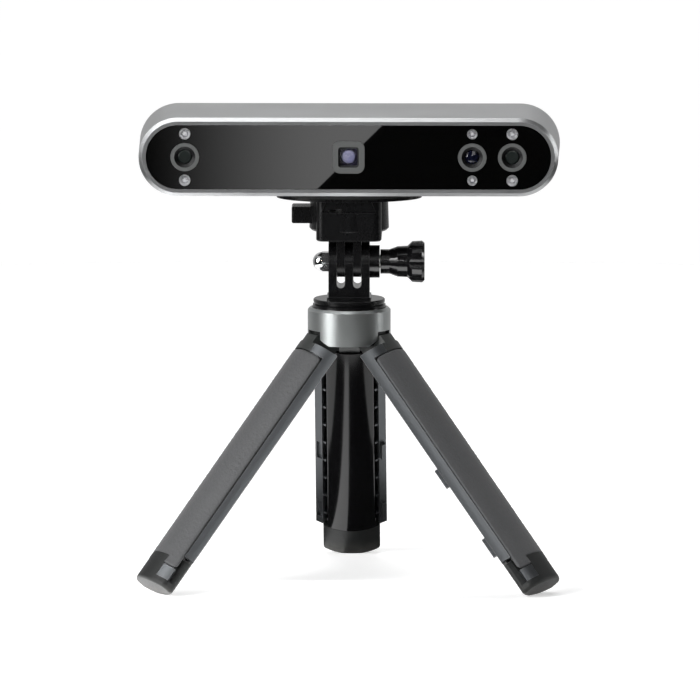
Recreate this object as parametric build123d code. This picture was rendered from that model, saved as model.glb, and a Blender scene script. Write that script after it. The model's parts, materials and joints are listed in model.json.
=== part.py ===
from build123d import *
import math
import os

# Handheld 3-D scanner on a quick-release clamp, a tilting prong hinge and a folding mini tripod.
# Millimetres. +X is to the scanner's right as it is faced, -Y is where the scanner looks, +Z is up.
# The tripod's axis stands at Y = AXIS_Y, so that the whole object is centred on the origin.
AXIS_Y = -18.14

# Scanner bar
BAR_WIDTH = 154.4
BAR_HEIGHT = 29.0
BAR_DEPTH = 45.0
BAR_MID_Z = 159.65
WALL = 2.2
RIM = 2.6
LEDGE = 1.0
EYE_IR = 60.2
EYE_COLOUR = 45.5
RING_OUT = 5.25
RING_IN = 2.7
LED_OFFSET = 8.6
LED_RADIUS = 2.1
FLASH_RADIUS = 1.85
PROJECTOR_W = 11.8
PROJECTOR_H = 12.0
PROJECTOR_WINDOW = 6.4
QUARTER_INCH = 3.175
BUTTON_TRAVEL = 0.6

# Quick-release clamp and its plate
PAD_LENGTH = 55.0
PAD_DEPTH = 36.0
CLAMP_TOP = 141.9
CLAMP_BOTTOM = 127.3
TIER_BOTTOM = 130.2
TIER_RADIUS = 14.65
DOVETAIL_FLOOR = 138.0
DOVETAIL_BASE = 10.0
DOVETAIL_NECK = 8.5
SLIDE_GAP = 0.15
RELEASE_TRAVEL = 2.0

# Tilting prong hinge
TILT_Z = 118.25
PRONG = 3.0
SLOT = 3.05
PRONG_RADIUS = 7.5
SLOT_DEPTH = 9.0
BOLT_RADIUS = 2.5
RUNNING = 0.05

# Folding tripod
DISC_TOP = 104.7
COLLAR_TOP = 101.5
COLLAR_BOTTOM = 88.35
COLLAR_RADIUS = 15.25
COLLAR_BORE = 13.75
NOTCH_TOP = 93.5
NOTCH_HALF = 4.2
PIN_R = 9.0
PIN_Z = 91.1
PIN_RADIUS = 1.5
SPLAY = 39.8
LEG_AZIMUTHS = {"rear": 90.0, "left": 210.0, "right": 330.0}
LEG_GAP = 0.35
LEG_WALL = 2.0
LEG_TOP = 6.5
FLANGE_END = 101.0
SHELL_END = 112.0
FOOT_START = 102.0
FOOT_END = 114.9
CORE_HALF = 8.8
CORE_WALL = 1.3
NOSE_R = 3.4
FACE_RADIUS = 18.0
FOOT_HALF = 10.4
PAD_ANGLE = 44.0
PAD_TOP = 10.0
PAD_END = 107.0
PAD_THICK = 0.9
CAP_ANGLE = 20.0
TONGUE_ANGLE = 22.5
TONGUE_START = 103.2
RIB_PITCH = 9.5
LUG_STARTS = (58.0, 89.5)
LUG_LENGTH = 8.0

os.makedirs("parts", exist_ok=True)


def save(name, shape):
    export_step(Pos(0, AXIS_Y, 0) * shape, f"parts/{name}.step")


def along_y(sketch, y_low, y_high):
    """A section drawn in X and Z, extruded from y_low to y_high."""
    face = Plane((0, y_high, 0), x_dir=(1, 0, 0), z_dir=(0, -1, 0)) * sketch
    return extrude(face, y_high - y_low)


def along_x(sketch, x_low, x_high):
    """A section drawn in Y and Z, extruded from x_low to x_high."""
    face = Plane((x_low, 0, 0), x_dir=(0, 1, 0), z_dir=(1, 0, 0)) * sketch
    return extrude(face, x_high - x_low)


def along_z(sketch, z_low, z_high):
    return extrude(Plane((0, 0, z_low)) * sketch, z_high - z_low)


def stadium(width, height, x=0.0):
    return Pos(x, BAR_MID_Z) * SlotOverall(width, height)


def disc_y(x, z, radius, y_low, y_high):
    return along_y(Pos(x, z) * Circle(radius), y_low, y_high)


def joined(shapes):
    return Compound(list(shapes))


# ---------------------------------------------------------------- scanner
FRONT = -BAR_DEPTH / 2
BACK = BAR_DEPTH / 2
BAR_BOTTOM = BAR_MID_Z - BAR_HEIGHT / 2
PANEL_FRONT = FRONT + 0.4
PANEL_BACK = PANEL_FRONT + 1.5
LEDGE_FRONT = PANEL_BACK + 0.5
LEDGE_BACK = LEDGE_FRONT + 1.5
COVER_BACK = BACK - 0.4
COVER_FRONT = COVER_BACK - 2.5
BOSS_START = LEDGE_BACK + 2.8
BOARD_Y = 12.5
EYES = [(-EYE_IR, LED_RADIUS), (EYE_COLOUR, FLASH_RADIUS), (EYE_IR, LED_RADIUS)]
COVER_SCREWS = [(x, z) for x in (-66.6, 66.6) for z in (-5.5, 5.5)]
USB_X = -44.0
BUTTON_RADIUS = 6.0
LIGHT_X = 14.0


def housing():
    shell = along_y(stadium(BAR_WIDTH, BAR_HEIGHT), FRONT, BACK)
    rims = shell.faces().filter_by(Axis.Y).edges()
    shell = chamfer(rims, 1.3)
    mouth = stadium(BAR_WIDTH - 2 * RIM, BAR_HEIGHT - 2 * RIM)
    ledge = stadium(BAR_WIDTH - 2 * (RIM + LEDGE), BAR_HEIGHT - 2 * (RIM + LEDGE))
    room = stadium(BAR_WIDTH - 2 * WALL, BAR_HEIGHT - 2 * WALL)
    shell -= along_y(mouth, FRONT - 1, LEDGE_FRONT)
    shell -= along_y(ledge, FRONT, LEDGE_BACK + 1)
    shell -= along_y(room, LEDGE_BACK, BACK + 1)
    for x, z in COVER_SCREWS:
        boss = disc_y(x, BAR_MID_Z + z, 2.6, BOSS_START, COVER_FRONT)
        web_middle = z + math.copysign(4, z)
        web = along_y(Pos(x, BAR_MID_Z + web_middle) * Rectangle(1.6, 8), BOSS_START, COVER_FRONT)
        shell += (boss + web) & along_y(stadium(BAR_WIDTH - 1, BAR_HEIGHT - 1), FRONT, BACK)
        shell -= disc_y(x, BAR_MID_Z + z, 1.2, COVER_FRONT - 8, COVER_FRONT + 1)
    shell += along_z(Circle(7.5), BAR_BOTTOM, BAR_BOTTOM + 6.5)
    shell -= along_z(Circle(4.5), BAR_BOTTOM - 1, BAR_BOTTOM + 8)
    return shell - along_z(Circle(4.5), BAR_BOTTOM - 1, BAR_BOTTOM + 6)


def rear_cover():
    gap = 0.1
    margin = 2 * (WALL + gap)
    plate = along_y(stadium(BAR_WIDTH - margin, BAR_HEIGHT - margin), COVER_FRONT, COVER_BACK)
    for x, z in COVER_SCREWS:
        plate -= disc_y(x, BAR_MID_Z + z, 1.4, COVER_FRONT - 1, COVER_BACK + 1)
        plate -= disc_y(x, BAR_MID_Z + z, 2.5, COVER_BACK - 1.2, COVER_BACK + 1)
    for side in (-1, 1):
        for step in range(7):
            vent = Pos(side * (25 + 4 * step), BAR_MID_Z) * SlotOverall(12, 1.6, rotation=90)
            if abs(side * (25 + 4 * step) - USB_X) > 8:
                plate -= along_y(vent, COVER_FRONT - 1, COVER_BACK + 1)
    plate -= along_y(Pos(USB_X, BAR_MID_Z) * RectangleRounded(9.4, 3.7, 1.8), COVER_FRONT - 1, COVER_BACK + 1)
    plate -= disc_y(0, BAR_MID_Z, BUTTON_RADIUS + 0.3, COVER_FRONT - 1, COVER_BACK + 1)
    return plate - disc_y(LIGHT_X, BAR_MID_Z, 1.3, COVER_FRONT - 1, COVER_BACK + 1)


def cover_screws():
    screws = []
    for x, z in COVER_SCREWS:
        head = disc_y(x, BAR_MID_Z + z, 2.3, COVER_BACK - 1.2, COVER_BACK - 0.1)
        shank = disc_y(x, BAR_MID_Z + z, 1.2, COVER_FRONT - 7.5, COVER_BACK - 1.2)
        hexagon = Pos(x, BAR_MID_Z + z) * RegularPolygon(0.9, 6)
        screws.append(head + shank - along_y(hexagon, COVER_BACK - 0.8, COVER_BACK + 1))
    return joined(screws)


def front_panel():
    gap = 0.1
    margin = 2 * (RIM + gap)
    glass = along_y(stadium(BAR_WIDTH - margin, BAR_HEIGHT - margin), PANEL_FRONT, PANEL_BACK)
    for x, led in EYES:
        glass -= disc_y(x, BAR_MID_Z, RING_OUT + 0.08, FRONT - 1, PANEL_BACK + 1)
        for side in (-1, 1):
            glass -= disc_y(x, BAR_MID_Z + side * LED_OFFSET, led + 0.08, FRONT - 1, PANEL_BACK + 1)
    hole = Pos(0, BAR_MID_Z) * RectangleRounded(PROJECTOR_W + 0.16, PROJECTOR_H + 0.16, 2.9)
    return glass - along_y(hole, FRONT - 1, PANEL_BACK + 1)


def panel_gasket():
    outer = stadium(BAR_WIDTH - 2 * RIM - 0.4, BAR_HEIGHT - 2 * RIM - 0.4)
    inner = stadium(BAR_WIDTH - 2 * (RIM + LEDGE), BAR_HEIGHT - 2 * (RIM + LEDGE))
    return along_y(outer, PANEL_BACK, LEDGE_FRONT) - along_y(inner, PANEL_BACK - 1, LEDGE_FRONT + 1)


def camera_rings():
    rings = []
    for x, _ in EYES:
        ring = disc_y(x, BAR_MID_Z, RING_OUT, PANEL_FRONT - 0.2, PANEL_BACK + 0.3)
        ring -= disc_y(x, BAR_MID_Z, RING_IN, FRONT - 1, PANEL_BACK + 1)
        mouth = ring.faces().sort_by(Axis.Y)[0].edges().sort_by(SortBy.LENGTH)[0]
        rings.append(chamfer(mouth, 1.2))
    return joined(rings)


def camera_lenses():
    lenses = []
    for x, _ in EYES:
        lens = disc_y(x, BAR_MID_Z, RING_IN - 0.05, PANEL_FRONT + 1.0, PANEL_BACK + 0.6)
        lenses.append(fillet(lens.faces().sort_by(Axis.Y)[0].edges(), 0.6))
    return joined(lenses)


def camera(x):
    """A square camera module with its round barrel behind the ring."""
    barrel = disc_y(x, BAR_MID_Z, 3.4, PANEL_BACK + 0.6, LEDGE_BACK + 1.2)
    block = along_y(Pos(x, BAR_MID_Z) * RectangleRounded(8.6, 8.6, 0.8), LEDGE_BACK + 1.2, LEDGE_BACK + 6.5)
    return barrel + block


def led_cups():
    cups = []
    for x, led in EYES:
        for side in (-1, 1):
            z = BAR_MID_Z + side * LED_OFFSET
            cup = disc_y(x, z, led, PANEL_FRONT - 0.1, PANEL_BACK + 0.6)
            bowl = Plane((x, PANEL_FRONT + 0.95, z), z_dir=(0, -1, 0)) * Cone(led * 0.45, led * 0.86, 2.1)
            cups.append(cup - bowl)
    return joined(cups)


def led_domes():
    domes = []
    for x, led in EYES:
        for side in (-1, 1):
            z = BAR_MID_Z + side * LED_OFFSET
            stem = disc_y(x, z, led * 0.4, PANEL_FRONT + 0.6, PANEL_FRONT + 2.0)
            domes.append(fillet(stem.faces().sort_by(Axis.Y)[0].edges(), led * 0.36))
    return joined(domes)


def projector_bezel():
    outline = Pos(0, BAR_MID_Z) * RectangleRounded(PROJECTOR_W, PROJECTOR_H, 2.85)
    bezel = along_y(outline, PANEL_FRONT - 0.2, PANEL_BACK + 0.3)
    window = Pos(0, BAR_MID_Z) * RectangleRounded(PROJECTOR_WINDOW, PROJECTOR_WINDOW, 0.5)
    bezel -= along_y(window, FRONT - 1, PANEL_BACK + 1)
    return chamfer(bezel.faces().sort_by(Axis.Y)[0].edges().sort_by(SortBy.LENGTH)[:4], 0.6)


def projector_window():
    pane = Pos(0, BAR_MID_Z) * RectangleRounded(PROJECTOR_WINDOW - 0.1, PROJECTOR_WINDOW - 0.1, 0.45)
    return along_y(pane, PANEL_FRONT + 1.0, PANEL_FRONT + 1.6)


def projector_lens():
    lens = disc_y(0, BAR_MID_Z, 2.5, PANEL_FRONT + 1.65, PANEL_BACK + 2.2)
    return fillet(lens.faces().sort_by(Axis.Y)[0].edges(), 0.25)


def projector_module():
    barrel = disc_y(0, BAR_MID_Z, 4.2, PANEL_BACK + 2.2, LEDGE_BACK + 3)
    return barrel + along_y(Pos(0, BAR_MID_Z) * RectangleRounded(22, 16, 1), LEDGE_BACK + 3, LEDGE_BACK + 13)


FRAME_Y = LEDGE_BACK + 0.4
FRAME_SCREWS = [(x, z) for x in (-35.0, 30.0) for z in (-6.0, 6.0)]


def sensor_frame():
    """The stiff plate that keeps the cameras and the projector on one base line."""
    plate = along_y(stadium(138, 18), FRAME_Y, FRAME_Y + 2)
    for x, _ in EYES:
        plate -= along_y(Pos(x, BAR_MID_Z) * RectangleRounded(8.8, 8.8, 0.8), FRAME_Y - 1, FRAME_Y + 3)
    plate -= along_y(Pos(0, BAR_MID_Z) * RectangleRounded(22.4, 16.4, 1), FRAME_Y - 1, FRAME_Y + 3)
    for x, z in FRAME_SCREWS:
        plate += disc_y(x, BAR_MID_Z + z, 2.4, FRAME_Y + 2, BOARD_Y)
        plate -= disc_y(x, BAR_MID_Z + z, 1.0, BOARD_Y - 6, BOARD_Y + 1)
    return plate


def main_board():
    board = along_y(stadium(122, 20), BOARD_Y, BOARD_Y + 1.6)
    for x, z in FRAME_SCREWS:
        board -= disc_y(x, BAR_MID_Z + z, 1.05, BOARD_Y - 1, BOARD_Y + 3)
    return board


def board_screws():
    screws = []
    for x, z in FRAME_SCREWS:
        head = disc_y(x, BAR_MID_Z + z, 1.9, BOARD_Y + 1.6, BOARD_Y + 2.8)
        screws.append(head + disc_y(x, BAR_MID_Z + z, 1.0, BOARD_Y - 5, BOARD_Y + 1.6))
    return joined(screws)


def processor():
    return along_y(Pos(-18, BAR_MID_Z) * Rectangle(13, 13), BOARD_Y - 1.2, BOARD_Y)


def heat_sink():
    base = along_y(Pos(-18, BAR_MID_Z) * Rectangle(18, 17), BOARD_Y - 3.2, BOARD_Y - 1.2)
    for step in range(6):
        base += along_y(Pos(-26.4 + 3.36 * step, BAR_MID_Z) * Rectangle(1.2, 17), BOARD_Y - 9, BOARD_Y - 3.2)
    return base


def usb_socket():
    outside = Pos(USB_X, BAR_MID_Z) * RectangleRounded(8.94, 3.26, 1.5)
    mouth = Pos(USB_X, BAR_MID_Z) * RectangleRounded(8.34, 2.66, 1.25)
    shell = along_y(outside, BOARD_Y + 1.6, COVER_BACK - 0.2)
    shell -= along_y(mouth, BOARD_Y + 2.4, COVER_BACK + 1)
    return shell + along_y(Pos(USB_X, BAR_MID_Z) * Rectangle(6.7, 0.7), BOARD_Y + 2.3, COVER_BACK - 1)


SWITCH_TOP = BOARD_Y + 1.6 + 3.6


def button_switch():
    body = along_y(Pos(0, BAR_MID_Z) * RectangleRounded(6, 6, 0.4), BOARD_Y + 1.6, SWITCH_TOP - 0.6)
    return body + disc_y(0, BAR_MID_Z, 1.7, SWITCH_TOP - 0.6, SWITCH_TOP)


def scan_button():
    """A round key with a flange that the cover keeps in, pressed towards the front."""
    flange = disc_y(0, BAR_MID_Z, BUTTON_RADIUS + 1.2, COVER_FRONT - 1.0, COVER_FRONT - 0.15)
    cap = disc_y(0, BAR_MID_Z, BUTTON_RADIUS, COVER_FRONT - 0.3, COVER_BACK + 0.4)
    cap = fillet(cap.faces().sort_by(Axis.Y)[-1].edges(), 0.5)
    return cap + flange


def status_light():
    return disc_y(LIGHT_X, BAR_MID_Z, 1.25, BOARD_Y + 2.2, COVER_BACK)


def tripod_insert():
    insert = along_z(Circle(4.5), BAR_BOTTOM, BAR_BOTTOM + 6)
    return insert - along_z(Circle(QUARTER_INCH), BAR_BOTTOM - 1, BAR_BOTTOM + 7)


# ---------------------------------------------------------------- plate and clamp
PLATE_TOP = BAR_BOTTOM - 1.7
PLATE_BOTTOM = CLAMP_TOP + 0.3
HEAD_LOW = DOVETAIL_FLOOR + 1.3
HEAD_HIGH = HEAD_LOW + 2.0


def plate_pad():
    pad = along_z(Ellipse(PAD_LENGTH / 2, PAD_DEPTH / 2), PLATE_TOP, BAR_BOTTOM)
    return pad - along_z(Circle(QUARTER_INCH + 0.1), PLATE_TOP - 1, BAR_BOTTOM + 1)


def dovetail(gap, y_reach, z_top):
    """The dovetail's section, widest at its floor, drawn in X and Z."""
    slope = (DOVETAIL_BASE - DOVETAIL_NECK) / (CLAMP_TOP - DOVETAIL_FLOOR)
    top_half = DOVETAIL_BASE - slope * (z_top - DOVETAIL_FLOOR) - gap
    low = DOVETAIL_FLOOR + gap
    base_half = DOVETAIL_BASE - gap
    corners = [(-base_half, low), (base_half, low), (top_half, z_top), (-top_half, z_top)]
    outline = Polygon(*corners, align=None)
    return along_y(outline, -y_reach, y_reach)


def release_plate():
    plate = along_z(Ellipse(PAD_LENGTH / 2 - 0.8, PAD_DEPTH / 2 - 0.8), PLATE_BOTTOM, PLATE_TOP)
    plate += dovetail(SLIDE_GAP, 13.5, PLATE_BOTTOM)
    plate -= along_z(Circle(QUARTER_INCH), DOVETAIL_FLOOR - 1, PLATE_TOP + 1)
    plate -= along_z(Circle(4.8), DOVETAIL_FLOOR - 1, HEAD_HIGH)
    return plate - Pos(-5.1, 0, DOVETAIL_FLOOR) * Box(5.0, 40, 2.4)


def plate_screw():
    screw = along_z(Circle(4.6), HEAD_LOW, HEAD_HIGH)
    screw += along_z(Circle(QUARTER_INCH), HEAD_HIGH, BAR_BOTTOM + 5.5)
    return screw - Pos(0, 0, HEAD_LOW) * Box(7, 1.2, 1.6)


def prong_profile(radius, flat, root):
    """Side view of a prong: a round end about the tilt axis, running straight to its root."""
    end = Pos(0, TILT_Z) * Circle(radius)
    low = min(root, TILT_Z)
    high = max(root, TILT_Z)
    blade = Pos(0, (low + high) / 2) * Rectangle(2 * radius, high - low)
    trim = Pos(0, TILT_Z - flat - 10) * Rectangle(40, 20)
    return end + blade - trim


BUTTON_LOW = 133.0
BUTTON_HIGH = 139.1
STEM_LOW = 133.6
STEM_HIGH = 136.4


def clamp_body():
    middle = (TIER_BOTTOM + CLAMP_TOP) / 2
    tier = Pos(0, 0, middle) * Cone(TIER_RADIUS, TIER_RADIUS - 0.35, CLAMP_TOP - TIER_BOTTOM)
    tier = chamfer(tier.faces().sort_by(Axis.Z)[0].edges(), 0.8)
    block = along_z(RectangleRounded(24, 28.4, 3), CLAMP_BOTTOM, CLAMP_TOP)
    body = tier + chamfer(block.faces().sort_by(Axis.Z)[0].edges(), 0.5)
    for side in (-1, 1):
        body += along_x(prong_profile(7.2, 5.1, CLAMP_BOTTOM + 1), side * 3.0 - 1.45, side * 3.0 + 1.45)
    body -= along_x(Pos(0, TILT_Z) * Circle(BOLT_RADIUS + RUNNING), -10, 10)
    body -= dovetail(0, 20, CLAMP_TOP + 0.01)
    body -= Pos(-13.2, 0, (BUTTON_LOW + BUTTON_HIGH) / 2) * Box(5.2, 10.7, BUTTON_HIGH - BUTTON_LOW + 0.7)
    body -= Pos(-4.6, 0, (STEM_LOW + STEM_HIGH) / 2) * Box(16.0, 6.4, STEM_HIGH - STEM_LOW + 0.6)
    return body - Pos(-5.1, 0, DOVETAIL_FLOOR - 0.6) * Box(5.2, 4.6, 3.2)


def release_button():
    key = Pos(-17.25, 0, (BUTTON_LOW + BUTTON_HIGH) / 2) * Box(7.7, 10, BUTTON_HIGH - BUTTON_LOW)
    key = fillet(key.faces().sort_by(Axis.X)[0].edges(), 0.7)
    stem = Pos(-8.7, 0, (STEM_LOW + STEM_HIGH) / 2) * Box(10.0, 5.8, STEM_HIGH - STEM_LOW)
    tooth = Pos(-6.1, 0, 137.0) * Box(2.2, 4.0, 3.6)
    bore = along_x(Pos(0, (STEM_LOW + STEM_HIGH) / 2) * Circle(1.15), -9.5, 0)
    return key + stem + tooth - bore


def button_spring():
    """A small compression spring inside the key's stem, its far end on the clamp."""
    middle = (STEM_LOW + STEM_HIGH) / 2
    turn = Plane((-7.2, 0, middle), z_dir=(1, 0, 0)) * Helix(1.1, 10.0, 0.75)
    wire = Plane(turn @ 0, z_dir=turn % 0) * Circle(0.16)
    return sweep(wire, path=turn, is_frenet=True)


# ---------------------------------------------------------------- tilting hinge
HALF_STACK = 1.5 * PRONG + SLOT
BOSS_END = HALF_STACK + 3.65
BOLT_END = 20.0


def prong_mount():
    mount = along_x(prong_profile(PRONG_RADIUS, 30, DISC_TOP + 0.1), -HALF_STACK, HALF_STACK)
    foot = along_z(RectangleRounded(16.2, 16.2, 1.2), DISC_TOP + 0.1, DISC_TOP + 1.1)
    mount += foot
    for side in (-1, 1):
        middle = side * (PRONG + SLOT) / 2
        floor = TILT_Z - SLOT_DEPTH
        mount -= Pos(middle, 0, floor + 15 + SLOT / 2) * Box(SLOT, 40, 30)
        mount -= along_y(Pos(middle, floor + SLOT / 2) * Circle(SLOT / 2), -20, 20)
    mount += along_x(Pos(0, TILT_Z) * Circle(6.0), HALF_STACK, BOSS_END)
    mount -= along_x(Pos(0, TILT_Z) * Circle(BOLT_RADIUS + RUNNING), -20, 20)
    return mount - along_z(Circle(QUARTER_INCH + RUNNING), DISC_TOP, DISC_TOP + 4.2)


def cap_nut():
    hexagon = along_x(Pos(0, TILT_Z) * RegularPolygon(4.0, 6), -HALF_STACK - 2.4, -HALF_STACK)
    dome = Pos(-HALF_STACK - 2.4, 0, TILT_Z) * Sphere(3.45)
    nut = hexagon + (dome & Pos(-HALF_STACK - 7, 0, TILT_Z) * Box(10, 10, 10))
    return nut - along_x(Pos(0, TILT_Z) * Circle(BOLT_RADIUS + RUNNING), -HALF_STACK - 4.2, 0)


def hinge_bolt():
    return along_x(Pos(0, TILT_Z) * Circle(BOLT_RADIUS), -HALF_STACK - 3.9, BOLT_END)


KNOB_START = BOSS_END + 0.3
KNOB_END = 27.7


def thumb_knob():
    outline = [
        (KNOB_START, 0),
        (KNOB_START, 4.5),
        (14.8, 4.5),
        (17.8, 5.6),
        (21.4, 5.8),
        (23.2, 7.5),
        (26.8, 7.7),
        (KNOB_END, 6.9),
        (KNOB_END, 0),
    ]
    knob = revolve(Plane.XY * Polygon(*outline, align=None), Axis.X)
    for step in range(6):
        knob -= Rot(60 * step + 30, 0, 0) * along_x(Pos(0, 9.3) * Circle(2.9), 16, 56)
    knob -= along_x(Circle(BOLT_RADIUS), 0, BOLT_END)
    return Pos(0, 0, TILT_Z) * knob


# ---------------------------------------------------------------- tripod
def leg_frame(shape, azimuth):
    return Rot(0, 0, azimuth) * shape


def collar():
    ring = along_z(Circle(COLLAR_RADIUS) - Circle(COLLAR_BORE), COLLAR_BOTTOM, COLLAR_TOP)
    ring = chamfer(ring.edges().sort_by(Axis.Z)[-2:].sort_by(SortBy.LENGTH)[-1], 0.9)
    low = COLLAR_BOTTOM - 1
    high = COLLAR_BOTTOM + 2.2
    flare = [(-9.6, low), (9.6, low), (NOTCH_HALF, high), (-NOTCH_HALF, high)]
    for azimuth in LEG_AZIMUTHS.values():
        ring -= leg_frame(Pos(15, 0, NOTCH_TOP - 10) * Box(12, 2 * NOTCH_HALF, 20), azimuth)
        ring -= leg_frame(along_x(Polygon(*flare, align=None), 8, 20), azimuth)
    return ring


def hub_core():
    core = along_z(Circle(COLLAR_BORE), COLLAR_BOTTOM + 0.1, COLLAR_TOP)
    for azimuth in LEG_AZIMUTHS.values():
        slot_top = PIN_Z + 5.0
        core -= leg_frame(Pos(14, 0, slot_top - 10) * Box(20, 2 * NOTCH_HALF, 20), azimuth)
        pin = Pos(PIN_R, 0, PIN_Z) * Rot(90, 0, 0) * Cylinder(PIN_RADIUS, 17)
        core -= leg_frame(pin, azimuth)
    return core - along_z(Circle(QUARTER_INCH), COLLAR_TOP - 3.5, COLLAR_TOP + 1)


def hinge_pins():
    pin = Pos(PIN_R, 0, PIN_Z) * Rot(90, 0, 0) * Cylinder(PIN_RADIUS, 17)
    return joined(leg_frame(pin, azimuth) for azimuth in LEG_AZIMUTHS.values())


def head_disc():
    outline = [
        (QUARTER_INCH, COLLAR_TOP),
        (13.4, COLLAR_TOP),
        (13.4, 102.6),
        (12.5, 102.9),
        (12.5, 103.4),
        (13.15, 103.5),
        (13.15, DISC_TOP - 0.3),
        (12.85, DISC_TOP),
        (QUARTER_INCH, DISC_TOP),
    ]
    return revolve(Plane.XZ * Polygon(*outline, align=None), Axis.Z)


def head_stud():
    stud = along_z(Circle(QUARTER_INCH), COLLAR_TOP - 3.5, DISC_TOP + 4.0)
    return chamfer(stud.faces().sort_by(Axis.Z)[-1].edges(), 0.6)


def wedge(gap):
    """The third of the tripod that a folded leg fills, less a gap on each flank, in R and T."""
    apex = gap / math.sin(math.radians(60))
    reach = 24.0
    rise = reach * math.sin(math.radians(60))
    run = apex + reach * math.cos(math.radians(60))
    return Polygon((apex, 0), (run, -rise), (40, -rise), (40, rise), (run, rise), align=None)


def fan(angle):
    """The stretch of the leg's round back within an angle each side of its middle."""
    reach = 30.0
    side = reach * math.tan(math.radians(angle))
    return Polygon((0, 0), (reach, -side), (reach, side), align=None)


def leg_run(section, top, end):
    return along_z(section, PIN_Z - end, PIN_Z - top)


def crowned(radius, half, inset, corner):
    """A leg's solid section, its inner side gently crowned and its long inner edges rounded."""
    face = Pos(NOSE_R + FACE_RADIUS, 0) * Circle(FACE_RADIUS - inset)
    band = Pos(NOSE_R + 10, 0) * Rectangle(20, 2 * (half - inset))
    section = Circle(radius - inset) & face & band
    inner_corners = section.vertices().sort_by(Axis.X)[:2]
    return fillet(inner_corners, corner)


def core_section(inset=0.0):
    return crowned(COLLAR_RADIUS - LEG_WALL - 0.05, CORE_HALF, inset, 1.0)


def leg_shell():
    back = Circle(COLLAR_RADIUS) - Circle(COLLAR_RADIUS - LEG_WALL)
    lip = (Circle(COLLAR_RADIUS) - Circle(12.3)) & (wedge(LEG_GAP) - wedge(LEG_GAP + 1.2))
    shell = leg_run((back & wedge(LEG_GAP)) + lip, LEG_TOP, FLANGE_END)
    shell += leg_run(back & fan(PAD_ANGLE - 1), LEG_TOP + 20, SHELL_END)
    beside_core = Rectangle(20, 40) - Rectangle(20, 2 * CORE_HALF + 0.6)
    rib = Circle(13.6) & wedge(LEG_GAP + 0.6) & Pos(10, 0) * beside_core
    for step in range(9):
        start = 19.0 + RIB_PITCH * step
        shell += leg_run(rib, start, start + 0.9)
    tray = (Circle(COLLAR_RADIUS + 1) - Circle(COLLAR_RADIUS - PAD_THICK)) & fan(PAD_ANGLE)
    shell -= leg_run(tray, PAD_TOP, PAD_END)
    shell -= leg_run(fan(CAP_ANGLE + 0.4), LEG_TOP - 1, PAD_TOP)
    shell -= leg_run(fan(TONGUE_ANGLE + 0.3), TONGUE_START, SHELL_END + 1)
    lug = Rot(0, 0, -60) * Pos(13.6, LEG_GAP - 0.65) * Rectangle(1.6, 1.3)
    pocket = Rot(0, 0, 60) * Pos(13.6, -0.7) * Rectangle(2.2, 1.4)
    for start in LUG_STARTS:
        shell += leg_run(lug, start, start + LUG_LENGTH)
        shell -= leg_run(pocket, start - 0.4, start + LUG_LENGTH + 0.4)
    return shell


def leg_core():
    return leg_run(core_section() - core_section(CORE_WALL), LEG_TOP, FLANGE_END + 0.9)


def leg_pad():
    ring = (Circle(COLLAR_RADIUS + 0.15) - Circle(COLLAR_RADIUS - PAD_THICK)) & fan(PAD_ANGLE - 0.4)
    pad = leg_run(ring, PAD_TOP + 0.1, PAD_END - 0.1)
    return pad - leg_run(fan(TONGUE_ANGLE + 0.4), TONGUE_START - 0.1, PAD_END + 1)


def swung_out(shape):
    """A leg piece drawn folded, swung out about its hinge pin to the open stop."""
    return Pos(PIN_R, 0, PIN_Z) * Rot(0, -SPLAY, 0) * Pos(-PIN_R, 0, -PIN_Z) * shape


def leg_knuckle():
    eye = 4.5
    back = COLLAR_RADIUS - PIN_R
    stop = [(back, -3.7), (4.1, -1.87)]
    side = [(-eye, 0), (-eye, -LEG_TOP), (back, -LEG_TOP), *stop, (0, 0)]
    profile = Circle(eye) + Polygon(*side, align=None)
    lug = extrude(Plane((PIN_R, 0, PIN_Z), x_dir=(1, 0, 0), z_dir=(0, -1, 0)) * profile, 3.8, both=True)
    lug &= along_z(Circle(COLLAR_RADIUS), PIN_Z - 20, PIN_Z + 10)
    inside = core_section(CORE_WALL)
    lug += leg_run(inside, LEG_TOP, LEG_TOP + 8)
    cap = (Circle(COLLAR_RADIUS) - Circle(COLLAR_RADIUS - LEG_WALL)) & fan(CAP_ANGLE)
    lug += leg_run(cap, LEG_TOP, PAD_TOP)
    return lug - Pos(PIN_R, 0, PIN_Z) * Rot(90, 0, 0) * Cylinder(PIN_RADIUS + RUNNING, 20)


def leg_foot():
    foot = leg_run(crowned(COLLAR_RADIUS - LEG_WALL - 0.05, FOOT_HALF, 0, 1.6), FOOT_START, SHELL_END)
    block = leg_run(crowned(COLLAR_RADIUS, FOOT_HALF, 0, 1.6), SHELL_END, FOOT_END)
    uprights = block.edges().filter_by(Axis.Z)
    sides = [edge for edge in uprights if abs(edge.center().Y) > FOOT_HALF - 0.1]
    block = fillet([edge for edge in sides if edge.center().X > PIN_R], 2.4)
    foot += fillet(block.faces().sort_by(Axis.Z)[0].edges(), 1.3)
    back = Circle(COLLAR_RADIUS) - Circle(COLLAR_RADIUS - LEG_WALL - 0.05)
    foot += leg_run(back & fan(TONGUE_ANGLE), TONGUE_START, SHELL_END)
    return foot + leg_run(core_section(CORE_WALL), FOOT_START - 7, FOOT_START)


FLOOR_CUT = Pos(0, 0, -10) * Box(300, 300, 20)


def build_legs():
    pieces = {
        "leg_shell": leg_shell(),
        "leg_core": leg_core(),
        "leg_pad": leg_pad(),
        "leg_knuckle": leg_knuckle(),
        "leg_foot": leg_foot(),
    }
    for name, piece in pieces.items():
        opened = swung_out(piece)
        if name == "leg_foot":
            opened -= FLOOR_CUT
        for side, azimuth in LEG_AZIMUTHS.items():
            save(f"{name}_{side}", leg_frame(opened, azimuth))


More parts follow.
